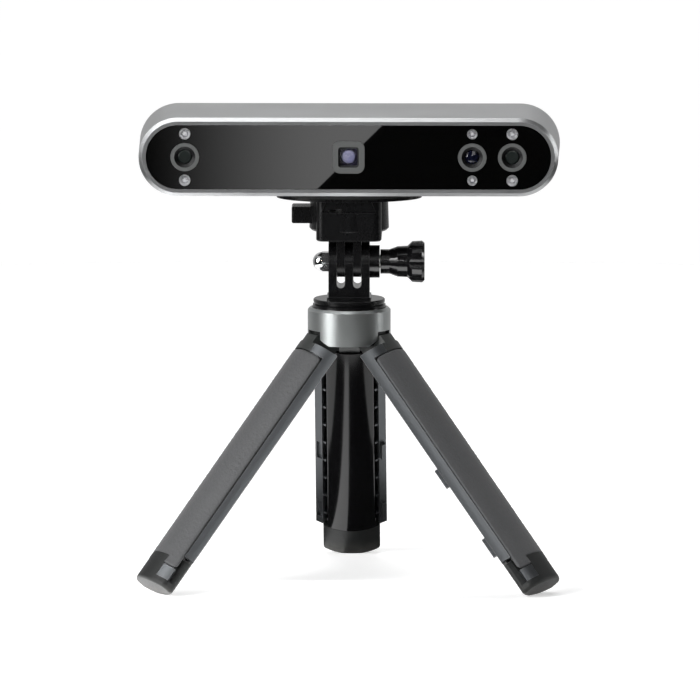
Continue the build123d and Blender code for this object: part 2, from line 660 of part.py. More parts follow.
SCANNER = {
    "housing": housing(),
    "rear_cover": rear_cover(),
    "cover_screws": cover_screws(),
    "front_panel": front_panel(),
    "panel_gasket": panel_gasket(),
    "camera_rings": camera_rings(),
    "camera_lenses": camera_lenses(),
    "ir_camera_left": camera(-EYE_IR),
    "ir_camera_right": camera(EYE_IR),
    "colour_camera": camera(EYE_COLOUR),
    "led_cups": led_cups(),
    "led_domes": led_domes(),
    "projector_bezel": projector_bezel(),
    "projector_window": projector_window(),
    "projector_lens": projector_lens(),
    "projector_module": projector_module(),
    "sensor_frame": sensor_frame(),
    "main_board": main_board(),
    "board_screws": board_screws(),
    "processor": processor(),
    "heat_sink": heat_sink(),
    "usb_socket": usb_socket(),
    "button_switch": button_switch(),
    "scan_button": scan_button(),
    "status_light": status_light(),
    "tripod_insert": tripod_insert(),
}
CLAMP_AND_HINGE = {
    "plate_pad": plate_pad(),
    "release_plate": release_plate(),
    "plate_screw": plate_screw(),
    "clamp_body": clamp_body(),
    "release_button": release_button(),
    "button_spring": button_spring(),
    "prong_mount": prong_mount(),
    "cap_nut": cap_nut(),
    "hinge_bolt": hinge_bolt(),
    "thumb_knob": thumb_knob(),
}
TRIPOD_HUB = {
    "collar": collar(),
    "hub_core": hub_core(),
    "hinge_pins": hinge_pins(),
    "head_disc": head_disc(),
    "head_stud": head_stud(),
}
for group in (SCANNER, CLAMP_AND_HINGE, TRIPOD_HUB):
    for name, shape in group.items():
        save(name, shape)
build_legs()
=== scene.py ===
import json
import math

import bmesh
import bpy
from mathutils import Matrix, Vector, noise


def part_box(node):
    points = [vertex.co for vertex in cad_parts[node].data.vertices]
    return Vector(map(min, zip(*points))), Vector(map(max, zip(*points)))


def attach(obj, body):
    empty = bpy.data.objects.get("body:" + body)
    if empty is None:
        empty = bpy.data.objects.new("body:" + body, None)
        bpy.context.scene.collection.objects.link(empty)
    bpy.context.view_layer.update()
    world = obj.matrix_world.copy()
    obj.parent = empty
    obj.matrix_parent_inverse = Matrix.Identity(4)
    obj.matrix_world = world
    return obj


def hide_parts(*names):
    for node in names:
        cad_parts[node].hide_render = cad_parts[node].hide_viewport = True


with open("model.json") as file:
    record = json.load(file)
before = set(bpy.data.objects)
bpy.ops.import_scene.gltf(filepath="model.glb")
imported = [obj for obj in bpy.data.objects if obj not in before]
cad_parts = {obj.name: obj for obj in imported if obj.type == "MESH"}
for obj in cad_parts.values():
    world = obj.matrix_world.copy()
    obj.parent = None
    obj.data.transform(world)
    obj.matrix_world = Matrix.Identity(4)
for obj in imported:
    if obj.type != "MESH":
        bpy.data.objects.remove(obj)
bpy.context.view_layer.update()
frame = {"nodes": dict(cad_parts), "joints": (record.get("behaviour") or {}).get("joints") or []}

# ---------------------------------------------------------------- scanner housing
# The scanner's long body is one thick-walled aluminium extrusion with round ends, bead-blasted and
# clear anodised to a mid grey. A polished bevel runs round its front rim, where the black panel sits.


class Reading:
    """One output of a finish's nodes, which adds, scales and compares like a number."""

    def __init__(self, finish, socket):
        self.finish = finish
        self.socket = socket

    def out(self, name):
        return Reading(self.finish, self.socket.node.outputs[name])

    def part(self, axis):
        """The X, Y or Z of a place or a direction."""
        return self.finish.node("ShaderNodeSeparateXYZ", {}, {0: self}).out(axis)

    def maths(self, operation, *values):
        return self.finish.node("ShaderNodeMath", {"operation": operation}, dict(enumerate(values)))

    def __add__(self, other):
        return self.maths("ADD", self, other)

    def __sub__(self, other):
        return self.maths("SUBTRACT", self, other)

    def __rsub__(self, other):
        return self.maths("SUBTRACT", other, self)

    def __mul__(self, other):
        return self.maths("MULTIPLY", self, other)

    def __gt__(self, other):
        return self.maths("GREATER_THAN", self, other)

    def __lt__(self, other):
        return self.maths("LESS_THAN", self, other)

    __radd__ = __add__
    __rmul__ = __mul__

    def between(self, low, high):
        """0 at low and 1 at high, eased at both ends."""
        settings = {"interpolation_type": "SMOOTHSTEP"}
        values = {"Value": self, "From Min": low, "From Max": high}
        return self.finish.node("ShaderNodeMapRange", settings, values)


class Finish:
    """A material: its even values are set on the surface shader, and nodes vary it from place to place."""

    def __init__(self, name, **even):
        self.material = bpy.data.materials.new(name)
        self.material.use_nodes = True
        self.tree = self.material.node_tree
        self.shader = self.tree.nodes["Principled BSDF"]
        for key, value in even.items():
            self.feed(self.shader.inputs[key.replace("_", " ")], value)

    def feed(self, socket, value):
        if isinstance(value, Reading):
            self.tree.links.new(value.socket, socket)
        elif isinstance(value, tuple) and socket.type == "RGBA":
            socket.default_value = (*value, 1.0)
        else:
            socket.default_value = value

    def node(self, kind, settings, values):
        made = self.tree.nodes.new(kind)
        for key, value in settings.items():
            setattr(made, key, value)
        for key, value in values.items():
            self.feed(made.inputs[key], value)
        shown = [output for output in made.outputs if output.enabled]
        return Reading(self, shown[0])

    def place(self):
        return self.node("ShaderNodeTexCoord", {}, {}).out("Object")

    def noise(self, size, detail=2.0, stretch=(1.0, 1.0, 1.0), place=None):
        """Cloudy unevenness from 0 to 1, with features of about that size in metres."""
        values = {0: place or self.place(), 1: stretch}
        where = self.node("ShaderNodeVectorMath", {"operation": "MULTIPLY"}, values)
        return self.node("ShaderNodeTexNoise", {}, {"Vector": where, "Scale": 1 / size, "Detail": detail})

    def mix(self, share, first, second):
        return self.node("ShaderNodeMix", {"data_type": "RGBA"}, {0: share, 6: first, 7: second})

    def edges(self, radius):
        """1 where a sharp edge is within that radius, 0 on the open surface."""
        rounded = self.node("ShaderNodeBevel", {"samples": 4}, {"Radius": radius})
        flat = self.node("ShaderNodeNewGeometry", {}, {}).out("Normal")
        turn = self.node("ShaderNodeVectorMath", {"operation": "DOT_PRODUCT"}, {0: rounded, 1: flat})
        return (1 - turn.out("Value")).between(0.01, 0.12)

    def vary(self, colour=None, roughness=None, coat=None, relief=None, depth=0.0):
        """Link what changes over the surface; depth is the relief's height in metres."""
        for key, value in {"Base Color": colour, "Roughness": roughness, "Coat Weight": coat}.items():
            if value is not None:
                self.feed(self.shader.inputs[key], value)
        if relief is not None:
            bump = self.node("ShaderNodeBump", {}, {"Strength": 1.0, "Distance": depth, "Height": relief})
            self.feed(self.shader.inputs["Normal"], bump)

    def paint(self, *names):
        """Put the finish on CAD nodes that keep their own shape."""
        for name in names:
            materials = frame["nodes"][name].data.materials
            materials.clear()
            materials.append(self.material)


SHELL_DEEP = (0.37, 0.375, 0.38)
SHELL_GREY = (0.42, 0.425, 0.43)
SHELL_EDGE = (0.62, 0.63, 0.64)

anodised = Finish("bead_blasted_aluminium", Metallic=1.0)
clouds = anodised.noise(size=0.018, detail=3.0)
blast = anodised.noise(size=0.00035, detail=3.0)
worn = anodised.edges(radius=0.0005)
anodised.vary(
    colour=anodised.mix(worn * 0.6, anodised.mix(clouds, SHELL_DEEP, SHELL_GREY), SHELL_EDGE),
    roughness=0.30 + 0.08 * clouds + 0.06 * blast,
    relief=blast,
    depth=0.00002,
)
anodised.paint("housing")

# ---------------------------------------------------------------- front panel and its gasket
# A polished black panel, tinted right through, fills the whole front of the housing inside its rim.
# It is bedded on a thin strip of black closed-cell foam, which shows only as a dark line.

PANEL_BLACK = (0.001, 0.001, 0.001)
PANEL_DUST = (0.03, 0.03, 0.032)
FOAM_DEEP = (0.008, 0.008, 0.008)
FOAM_SKIN = (0.03, 0.03, 0.03)

panel = Finish("polished_black_panel", IOR=1.5)
smears = panel.noise(size=0.03, detail=3.0, stretch=(1.0, 1.0, 0.35))
dust = panel.noise(size=0.0012).between(0.72, 0.8)
panel.vary(
    colour=panel.mix(dust * 0.12, PANEL_BLACK, PANEL_DUST),
    roughness=0.004 + 0.01 * smears + 0.05 * dust,
)
panel.paint("front_panel")

foam = Finish("closed_cell_foam", Roughness=0.95)
cells = foam.noise(size=0.0003)
foam.vary(colour=foam.mix(cells, FOAM_DEEP, FOAM_SKIN), relief=cells, depth=0.0001)
foam.paint("panel_gasket")

# ---------------------------------------------------------------- camera eyes
# Two infrared cameras and one colour camera look through the panel, each in a satin grey ring with a
# moulded black barrel behind it. Each ring's bore, every face of it that doesn't face the front, is
# painted black as shade. The infrared lenses are matt and dark. The colour camera's lens is clear; its
# face is flat in the CAD, and only relief makes it look domed.

RING_DEEP = (0.085, 0.088, 0.087)
RING_GREY = (0.12, 0.124, 0.122)
BORE_PAINTED_SHADE = (0.004, 0.004, 0.0045)
INFRARED_DEEP = (0.003, 0.006, 0.005)
INFRARED_GREEN = (0.006, 0.010, 0.009)
CLEAR_DEEP = (0.002, 0.003, 0.008)
CLEAR_BLUE = (0.004, 0.005, 0.018)
BARREL_DEEP = (0.014, 0.014, 0.015)
BARREL_BLACK = (0.024, 0.024, 0.026)
LENS_CURVE = 0.004

ring_metal = Finish("satin_grey_ring", Metallic=0.35, IOR=1.5)
tool_marks = ring_metal.noise(size=0.0002, stretch=(1.0, 6.0, 1.0))
# Painted shade: every face of the rings and the projector bezel that doesn't face the front is coloured
# black.
ring_face = (0 - ring_metal.place().out("Normal").part("Y")).between(0.90, 0.98)
ring_metal.vary(
    colour=ring_metal.mix(ring_face, BORE_PAINTED_SHADE, ring_metal.mix(tool_marks, RING_DEEP, RING_GREY)),
    roughness=0.4 + 0.12 * tool_marks,
    relief=tool_marks,
    depth=0.00001,
)
ring_metal.paint("camera_rings", "projector_bezel")

colour_low, colour_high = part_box("colour_camera")
colour_eye = (colour_low + colour_high) / 2
lens = Finish("coated_lens", Coat_Roughness=0.01)
bloom = lens.noise(size=0.004, detail=1.0)
sideways = lens.place().part("X")
clear = (sideways > colour_low.x) * (sideways < colour_high.x)
aside = sideways - colour_eye.x
above = lens.place().part("Z") - colour_eye.z
infrared_glass = lens.mix(bloom, INFRARED_DEEP, INFRARED_GREEN)
clear_glass = lens.mix(bloom, CLEAR_DEEP, CLEAR_BLUE)
lens.vary(
    colour=lens.mix(clear, infrared_glass, clear_glass),
    roughness=0.3 - 0.28 * clear + 0.03 * bloom,
    coat=clear,
    relief=(aside * aside + above * above) * (-0.5 / LENS_CURVE) * clear,
    depth=1.0,
)
lens.paint("camera_lenses")

barrel = Finish("moulded_black_barrel")
mould = barrel.noise(size=0.0006, detail=3.0)
barrel.vary(
    colour=barrel.mix(mould, BARREL_DEEP, BARREL_BLACK),
    roughness=0.5 + 0.2 * mould,
    relief=mould,
    depth=0.00003,
)
barrel.paint("ir_camera_left", "ir_camera_right", "colour_camera", "projector_module")

# ---------------------------------------------------------------- lamps beside the eyes
# A small lamp sits above and below every eye: a bright pressed reflector cup glued into the panel,
# with a clear epoxy dome over the emitter.

CUP_DEEP = (0.8, 0.8, 0.81)
CUP_BRIGHT = (0.93, 0.93, 0.94)
DOME_HAZE = (0.75, 0.76, 0.78)
DOME_CLEAR = (0.9, 0.9, 0.92)

cup = Finish("bright_reflector", Metallic=1.0)
draw_marks = cup.noise(size=0.0008)
cup.vary(colour=cup.mix(draw_marks, CUP_DEEP, CUP_BRIGHT), roughness=0.22 + 0.16 * draw_marks)
cup.paint("led_cups")

dome = Finish("clear_epoxy_dome", IOR=1.5, Alpha=0.55)
haze = dome.noise(size=0.0015, detail=1.0)
dome.vary(colour=dome.mix(haze, DOME_HAZE, DOME_CLEAR), roughness=0.03 + 0.05 * haze)
dome.paint("led_domes")

# ---------------------------------------------------------------- pattern projector
# The middle of the panel holds a square bezel with rounded corners and a small coated window, behind
# which the projector's round lens can be seen.

FILM_DEEP = (0.02, 0.02, 0.05)
FILM_VIOLET = (0.05, 0.04, 0.10)
SILVER_DEEP = (0.24, 0.25, 0.48)
SILVER_BLUE = (0.5, 0.5, 0.72)

window = Finish("coated_window", IOR=1.5, Alpha=0.12)
film = window.noise(size=0.004, detail=1.0)
window.vary(colour=window.mix(film, FILM_DEEP, FILM_VIOLET), roughness=0.02 + 0.03 * film)
window.paint("projector_window")

projector_glass = Finish("silver_blue_lens", Metallic=0.7, Coat_Weight=1.0, Coat_Roughness=0.02)
coating = projector_glass.noise(size=0.003, detail=1.0)
projector_glass.vary(
    colour=projector_glass.mix(coating, SILVER_DEEP, SILVER_BLUE),
    roughness=0.1 + 0.15 * coating,
)
projector_glass.paint("projector_lens")

# ---------------------------------------------------------------- rear cover and its controls
# A moulded black cover closes the back on four black screws. It carries the cooling slots, the round
# scan key, a light guide beside it and the socket for the cable.

COVER_DEEP = (0.018, 0.018, 0.019)
COVER_BLACK = (0.034, 0.034, 0.036)
COVER_EDGE = (0.07, 0.07, 0.072)
OXIDE_DEEP = (0.02, 0.02, 0.021)
OXIDE_BLACK = (0.04, 0.04, 0.042)
BARE_STEEL = (0.25, 0.25, 0.26)
KEY_DEEP = (0.09, 0.09, 0.095)
KEY_GREY = (0.12, 0.12, 0.125)
GUIDE_DEEP = (0.42, 0.55, 0.48)
GUIDE_MILKY = (0.6, 0.7, 0.64)
STAINLESS_DEEP = (0.5, 0.5, 0.5)
STAINLESS = (0.66, 0.66, 0.65)

cover = Finish("textured_black_cover")
spark = cover.noise(size=0.0005, detail=4.0)
patches = cover.noise(size=0.02)
rubbed = cover.edges(radius=0.0004)
cover.vary(
    colour=cover.mix(rubbed * 0.5, cover.mix(spark, COVER_DEEP, COVER_BLACK), COVER_EDGE),
    roughness=0.45 + 0.18 * spark + 0.1 * patches,
    relief=spark,
    depth=0.00008,
)
cover.paint("rear_cover")

oxide = Finish("black_oxide_screw", Metallic=0.8)
blotch = oxide.noise(size=0.001, detail=3.0)
bared = oxide.edges(radius=0.0003)
oxide.vary(
    colour=oxide.mix(bared * 0.6, oxide.mix(blotch, OXIDE_DEEP, OXIDE_BLACK), BARE_STEEL),
    roughness=0.35 + 0.2 * blotch,
)
oxide.paint("cover_screws")

key_grey = Finish("satin_grey_key")
press = key_grey.noise(size=0.0006, detail=3.0)
key_grey.vary(
    colour=key_grey.mix(press, KEY_DEEP, KEY_GREY),
    roughness=0.38 + 0.14 * press,
    relief=press,
    depth=0.00002,
)
key_grey.paint("scan_button")

guide = Finish("clear_light_guide", Transmission_Weight=0.5, IOR=1.49)
milk = guide.noise(size=0.0015)
guide.vary(colour=guide.mix(milk, GUIDE_DEEP, GUIDE_MILKY), roughness=0.1 + 0.12 * milk)
guide.paint("status_light")

stamped = Finish("stamped_stainless", Metallic=1.0)
rolled = stamped.noise(size=0.0006, detail=3.0, stretch=(0.15, 1.0, 1.0))
stamped.vary(colour=stamped.mix(rolled, STAINLESS_DEEP, STAINLESS), roughness=0.22 + 0.16 * rolled)
stamped.paint("usb_socket")

# ---------------------------------------------------------------- inside the scanner
# A milled aluminium frame holds the cameras and the projector in line. The circuit board with its
# processor, finned heat sink and key switch is screwed to the back of it. The board's and the plate's
# screws, the hinge bolt and the leg pins are zinc plated, and the threaded insert is turned brass.

MILLED_DEEP = (0.52, 0.52, 0.54)
MILLED_BRIGHT = (0.66, 0.66, 0.68)
MASK_DEEP = (0.012, 0.085, 0.035)
MASK_GREEN = (0.03, 0.15, 0.06)
CHIP_DEEP = (0.01, 0.01, 0.01)
CHIP_BLACK = (0.022, 0.022, 0.022)
ZINC_DEEP = (0.44, 0.44, 0.45)
ZINC_WARM = (0.62, 0.61, 0.58)
BRASS_DEEP = (0.55, 0.37, 0.13)
BRASS_BRIGHT = (0.78, 0.56, 0.24)

milled = Finish("milled_aluminium", Metallic=1.0)
cutter = milled.noise(size=0.0008, detail=3.0, stretch=(0.12, 1.0, 1.0))
milled.vary(
    colour=milled.mix(cutter, MILLED_DEEP, MILLED_BRIGHT),
    roughness=0.3 + 0.16 * cutter,
    relief=cutter,
    depth=0.00002,
)
milled.paint("sensor_frame", "heat_sink")

board = Finish("solder_mask", Coat_Weight=0.4, Coat_Roughness=0.2)
copper = board.noise(size=0.0012, stretch=(1.0, 1.0, 4.0)).between(0.5, 0.56)
board.vary(
    colour=board.mix(copper, MASK_DEEP, MASK_GREEN),
    roughness=0.35 + 0.1 * copper,
    relief=copper,
    depth=0.00003,
)
board.paint("main_board")

epoxy = Finish("moulded_chip_epoxy")
speck = epoxy.noise(size=0.0004, detail=3.0)
epoxy.vary(colour=epoxy.mix(speck, CHIP_DEEP, CHIP_BLACK), roughness=0.55 + 0.2 * speck)
epoxy.paint("processor", "button_switch")

zinc = Finish("zinc_plated_steel", Metallic=1.0)
plating = zinc.noise(size=0.0015, detail=3.0)
scuffs = zinc.noise(size=0.0003, stretch=(1.0, 0.2, 1.0))
zinc.vary(
    colour=zinc.mix(plating, ZINC_DEEP, ZINC_WARM),
    roughness=0.24 + 0.12 * plating + 0.08 * scuffs,
    relief=scuffs,
    depth=0.00001,
)
zinc.paint("board_screws", "plate_screw", "hinge_bolt", "hinge_pins")

brass = Finish("turned_brass", Metallic=1.0)
lathe = brass.noise(size=0.0003, stretch=(0.3, 0.3, 2.0))
brass.vary(colour=brass.mix(lathe, BRASS_DEEP, BRASS_BRIGHT), roughness=0.2 + 0.16 * lathe)
brass.paint("tripod_insert")

# ---------------------------------------------------------------- quick-release clamp
# The scanner stands on a rubber-faced plate whose dovetail slides into a moulded clamp of satin black
# nylon. A spring-loaded key on its left side lets the plate go, and a zinc-plated screw holds the plate on.

RUBBER_DEEP = (0.004, 0.004, 0.004)
RUBBER_BLACK = (0.010, 0.010, 0.010)
NYLON_DEEP = (0.002, 0.002, 0.0022)
NYLON_BLACK = (0.005, 0.005, 0.0055)
NYLON_POLISHED = (0.02, 0.02, 0.021)
WIRE_DEEP = (0.4, 0.4, 0.4)
WIRE_BRIGHT = (0.58, 0.57, 0.55)

rubber = Finish("matt_black_rubber")
skin = rubber.noise(size=0.0007, detail=3.0)
rubber.vary(
    colour=rubber.mix(skin, RUBBER_DEEP, RUBBER_BLACK),
    roughness=0.75 + 0.15 * skin,
    relief=skin,
    depth=0.00006,
)
rubber.paint("plate_pad")

nylon = Finish("satin_black_nylon", Specular_IOR_Level=0.2)
fibres = nylon.noise(size=0.0009, detail=4.0, stretch=(1.0, 1.0, 0.5))
drift = nylon.noise(size=0.012)
polish = nylon.edges(radius=0.0005)
nylon.vary(
    colour=nylon.mix(polish * 0.5, nylon.mix(fibres, NYLON_DEEP, NYLON_BLACK), NYLON_POLISHED),
    roughness=0.2 + 0.1 * fibres + 0.06 * drift,
    relief=fibres,
    depth=0.00003,
)
nylon.paint("release_plate", "clamp_body", "release_button", "hub_core")

wire = Finish("spring_wire", Metallic=1.0)
drawn = wire.noise(size=0.0004)
wire.vary(colour=wire.mix(drawn, WIRE_DEEP, WIRE_BRIGHT), roughness=0.2 + 0.2 * drawn)
wire.paint("button_spring")

# ---------------------------------------------------------------- tilting prong hinge
# Three moulded prongs on the head take two prongs of the clamp between them. A steel bolt runs through
# all five, with a chromed cap nut on the left and a fluted thumb knob on the right to pinch them.

GLOSS_EDGE = (0.04, 0.04, 0.042)
CHROME_DEEP = (0.72, 0.72, 0.73)
CHROME_BRIGHT = (0.86, 0.86, 0.87)

gloss = Finish("semi_gloss_black_nylon", Specular_IOR_Level=0.5)
flow = gloss.noise(size=0.004, detail=3.0)
ripple = gloss.noise(size=0.0008)
handled_edge = gloss.edges(radius=0.0004)
gloss.vary(
    colour=gloss.mix(handled_edge * 0.5, gloss.mix(flow, NYLON_DEEP, NYLON_BLACK), GLOSS_EDGE),
    roughness=0.1 + 0.1 * flow,
    relief=ripple,
    depth=0.00002,
)
gloss.paint("prong_mount", "thumb_knob")

chrome = Finish("polished_chrome", Metallic=1.0)
swirl = chrome.noise(size=0.0012)
chrome.vary(colour=chrome.mix(swirl, CHROME_DEEP, CHROME_BRIGHT), roughness=0.05 + 0.07 * swirl)
chrome.paint("cap_nut")

# ---------------------------------------------------------------- tripod hub
# The three legs hang from a turned aluminium collar pressed over a black core. A gloss black disc caps
# it, and a quarter-inch steel stud rises from the disc into the foot of the prong mount.

COLLAR_DEEP = (0.40, 0.42, 0.42)
COLLAR_GREY = (0.46, 0.48, 0.475)
COLLAR_EDGE = (0.66, 0.67, 0.67)
LACQUER_DEEP = (0.003, 0.003, 0.0032)
LACQUER_BLACK = (0.006, 0.006, 0.0065)
STUD_DEEP = (0.42, 0.42, 0.44)
STUD_BRIGHT = (0.58, 0.58, 0.6)

turned = Finish("turned_satin_collar", Metallic=1.0)
rings = turned.noise(size=0.0003, stretch=(0.05, 0.05, 1.0))
shade = turned.noise(size=0.01)
bright = turned.edges(radius=0.0005)
turned.vary(
    colour=turned.mix(bright * 0.6, turned.mix(shade, COLLAR_DEEP, COLLAR_GREY), COLLAR_EDGE),
    roughness=0.27 + 0.08 * rings + 0.05 * shade,
    relief=rings,
    depth=0.00001,
)
turned.paint("collar")

lacquer = Finish("gloss_black_disc", IOR=1.5)
orange_peel = lacquer.noise(size=0.0012, detail=1.0)
lacquer.vary(
    colour=lacquer.mix(orange_peel, LACQUER_DEEP, LACQUER_BLACK),
    roughness=0.14 + 0.1 * orange_peel,
    relief=orange_peel,
    depth=0.00002,
)
lacquer.paint("head_disc")

thread = Finish("threaded_steel", Metallic=1.0)
tip = thread.noise(size=0.0006, detail=3.0)
thread.vary(colour=thread.mix(tip, STUD_DEEP, STUD_BRIGHT), roughness=0.25 + 0.18 * tip)
thread.paint("head_stud")

# ---------------------------------------------------------------- legs
# Each leg is an aluminium back shell, lacquered gunmetal, round a glossy black core. It hangs from a
# moulded knuckle on a steel pin and ends in a rubber foot. Its stippled rubber grip pad is a curved sheet
# glued into a shallow recess in the shell's back, with a thin groove left round it. The whole recess is
# painted black as shade, which shows only in that groove.

tripod_axis = next(Vector(joint["pos_m"]) for joint in frame["joints"] if joint["name"] == "mount_pan")


def leg_frame(side):
    """Leg place: X out from the pin across the leg, Y along the pin, Z up the leg."""
    joint = next(found for found in frame["joints"] if found["name"] == side + "_leg_fold")
    pin = Vector(joint["pos_m"])
    across = Vector(joint["axis"])
    splay = math.radians(joint["range_deg"][1])
    outward = Vector((pin.x - tripod_axis.x, pin.y - tripod_axis.y, 0.0)).normalized()
    up = Vector((0.0, 0.0, 1.0)) * math.cos(splay) - outward * math.sin(splay)
    out = across.cross(up)
    matrix = Matrix((out, across, up)).transposed().to_4x4()
    matrix.translation = pin
    return matrix


def leg_place(finish, matrix):
    """The place on a leg, in the leg's own frame."""
    values = {
        "Vector": finish.place(),
        "Location": tuple(matrix.translation),
        "Rotation": tuple(matrix.to_euler()),
    }
    return finish.node("ShaderNodeMapping", {"vector_type": "TEXTURE"}, values)


RECESS_HALF_ANGLE = math.radians(43.6)
RECESS_TOP = 0.0101
RECESS_BOTTOM = 0.1069
GROOVE = 0.0003
PAD_OUTER = 0.0154
PAD_INNER = 0.01438
PAD_HALF_ANGLE = RECESS_HALF_ANGLE - GROOVE / PAD_OUTER
PAD_TOP = RECESS_TOP + GROOVE
PAD_BOTTOM = RECESS_BOTTOM - GROOVE
PAD_CORNER = 0.0018
PAD_ROLL = 0.0006
PAD_ROLL_DROP = 0.0003
NOTCH_HALF_ANGLE = math.radians(22.9)
NOTCH_START = 0.1031
CELL = 0.0005
PEBBLE = 0.0009
PEBBLE_SINK = 0.00012
PEBBLE_RISE = 0.00016
PEBBLE_SPREAD = 0.15


def pad_mesh(name, matrix, pin_radius):
    """The grip pad: a curved sheet with rolled edges and a moulded stipple, closed at the back."""
    mesh = bmesh.new()
    columns = round(2 * PAD_HALF_ANGLE * PAD_OUTER / CELL)
    rows = round((PAD_BOTTOM - PAD_TOP) / CELL)
    grid = {}
    for row in range(rows + 1):
        along = PAD_TOP + (PAD_BOTTOM - PAD_TOP) * row / rows
        from_end = min(along - PAD_TOP, PAD_BOTTOM - along)
        short = max(0.0, PAD_CORNER - from_end)
        half = PAD_HALF_ANGLE - (PAD_CORNER - math.sqrt(PAD_CORNER ** 2 - short ** 2)) / PAD_OUTER
        for column in range(columns + 1):
            angle = half * (2 * column / columns - 1)
            margin = min((half - abs(angle)) * PAD_OUTER, from_end)
            rolled = max(0.0, 1 - margin / PAD_ROLL)
            spot = Vector((angle * PAD_OUTER, along, 0.0)) / PEBBLE
            pebble = max(0.0, noise.noise(spot) + PEBBLE_SPREAD)
            stipple = PEBBLE_RISE * pebble * (1 - rolled) - PEBBLE_SINK
            radius = PAD_OUTER + stipple - PAD_ROLL_DROP * rolled ** 2
            local = Vector((radius * math.cos(angle) - pin_radius, radius * math.sin(angle), -along))
            grid[row, column] = mesh.verts.new(matrix @ local)
    faces = []
    for row in range(rows):
        along = PAD_TOP + (PAD_BOTTOM - PAD_TOP) * (row + 0.5) / rows
        for column in range(columns):
            angle = PAD_HALF_ANGLE * (2 * (column + 0.5) / columns - 1)
            if along > NOTCH_START and abs(angle) < NOTCH_HALF_ANGLE:
                continue
            around = ((row, column), (row, column + 1), (row + 1, column + 1), (row + 1, column))
            faces.append(mesh.faces.new([grid[corner] for corner in around]))
    grown = bmesh.ops.extrude_face_region(mesh, geom=faces)
    home = matrix.inverted()
    for vertex in (item for item in grown["geom"] if isinstance(item, bmesh.types.BMVert)):
        local = home @ vertex.co
        inner = Vector((local.x + pin_radius, local.y)).normalized() * PAD_INNER
        vertex.co = matrix @ Vector((inner.x - pin_radius, inner.y, local.z))
    loose = [vertex for vertex in mesh.verts if not vertex.link_faces]
    bmesh.ops.delete(mesh, geom=loose, context="VERTS")
    bmesh.ops.recalc_face_normals(mesh, faces=mesh.faces)
    data = bpy.data.meshes.new(name)
    mesh.to_mesh(data)
    mesh.free()
    data.shade_smooth()
    made = bpy.data.objects.new(name, data)
    bpy.context.scene.collection.objects.link(made)
    return made


GUNMETAL_DEEP = (0.075, 0.08, 0.085)
GUNMETAL = (0.10, 0.105, 0.11)
GUNMETAL_CHIPPED = (0.26, 0.26, 0.27)
GROOVE_PAINTED_SHADE = (0.004, 0.004, 0.004)
CORE_DEEP = (0.0015, 0.0015, 0.0017)
CORE_BLACK = (0.003, 0.003, 0.0034)
KNUCKLE_DEEP = (0.014, 0.016, 0.015)
KNUCKLE_DARK = (0.026, 0.028, 0.027)
FOOT_DEEP = (0.007, 0.0075, 0.0075)
FOOT_BLACK = (0.014, 0.015, 0.0147)
FLOOR_DIRT = (0.10, 0.095, 0.085)
DIRT_HEIGHT = 0.006
GRIP_DEEP = (0.026, 0.027, 0.028)
GRIP_WORN = (0.038, 0.039, 0.041)
GRIP_PEBBLE = (0.06, 0.061, 0.064)

for side in ("rear", "left", "right"):
    matrix = leg_frame(side)
    pin_radius = (matrix.translation - tripod_axis).xy.length

    shell = Finish("gunmetal_lacquer_" + side, Metallic=0.85)
    place = leg_place(shell, matrix)
    streaks = shell.noise(size=0.0006, detail=3.0, stretch=(1.0, 1.0, 0.03), place=place)
    pool = shell.noise(size=0.02, stretch=(1.0, 1.0, 0.4), place=place)
    chipped = shell.edges(radius=0.0004)
    values = {0: place.part("Y"), 1: place.part("X") + pin_radius}
    angle = shell.node("ShaderNodeMath", {"operation": "ARCTAN2"}, values)
    height = place.part("Z")
    between_sides = (angle > -RECESS_HALF_ANGLE) * (angle < RECESS_HALF_ANGLE)
    # Painted shade: the recess under the pad is coloured black, which shows in the groove round the pad.
    recess = between_sides * (height < -RECESS_TOP) * (height > -RECESS_BOTTOM)
    lacquered = shell.mix(chipped * 0.5, shell.mix(pool, GUNMETAL_DEEP, GUNMETAL), GUNMETAL_CHIPPED)
    shell.vary(
        colour=shell.mix(recess, lacquered, GROOVE_PAINTED_SHADE),
        roughness=0.26 + 0.1 * streaks + 0.08 * pool,
        relief=streaks,
        depth=0.00001,
    )
    shell.paint("leg_shell_" + side)

    core = Finish("high_gloss_black_core_" + side, Specular_IOR_Level=0.35)
    sink = core.noise(size=0.012, stretch=(1.0, 1.0, 0.25), place=leg_place(core, matrix))
    core.vary(
        colour=core.mix(sink, CORE_DEEP, CORE_BLACK),
        roughness=0.08 + 0.08 * sink,
        relief=sink,
        depth=0.00004,
    )
    core.paint("leg_core_" + side)

    knuckle = Finish("satin_dark_knuckle_" + side, IOR=1.5)
    grit = knuckle.noise(size=0.0006, detail=3.0)
    knuckle.vary(
        colour=knuckle.mix(grit, KNUCKLE_DEEP, KNUCKLE_DARK),
        roughness=0.34 + 0.14 * grit,
        relief=grit,
        depth=0.00003,
    )
    knuckle.paint("leg_knuckle_" + side)

    foot = Finish("dark_rubber_foot_" + side, Specular_IOR_Level=0.25)
    bite = foot.noise(size=0.0008, detail=3.0)
    dirt = foot.noise(size=0.004, detail=3.0)
    low_down = 1 - foot.place().part("Z").between(0.0, DIRT_HEIGHT)
    foot.vary(
        colour=foot.mix(low_down * dirt * 0.5, foot.mix(bite, FOOT_DEEP, FOOT_BLACK), FLOOR_DIRT),
        roughness=0.42 + 0.2 * bite,
        relief=bite,
        depth=0.00004,
    )
    foot.paint("leg_foot_" + side)

    grip = Finish("stippled_grip_" + side, Sheen_Weight=0.15)
    pebbles = grip.noise(size=0.0007, detail=3.0)
    handled = grip.noise(size=0.014, stretch=(1.0, 1.0, 0.4), place=leg_place(grip, matrix))
    grip.vary(
        colour=grip.mix(pebbles, grip.mix(handled, GRIP_DEEP, GRIP_WORN), GRIP_PEBBLE),
        roughness=0.6 + 0.2 * pebbles - 0.08 * handled,
        relief=pebbles,
        depth=0.00012,
    )
    pad = pad_mesh("grip_pad_" + side, matrix, pin_radius)
    pad.data.materials.append(grip.material)
    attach(pad, side + "_leg")
    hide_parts("leg_pad_" + side)

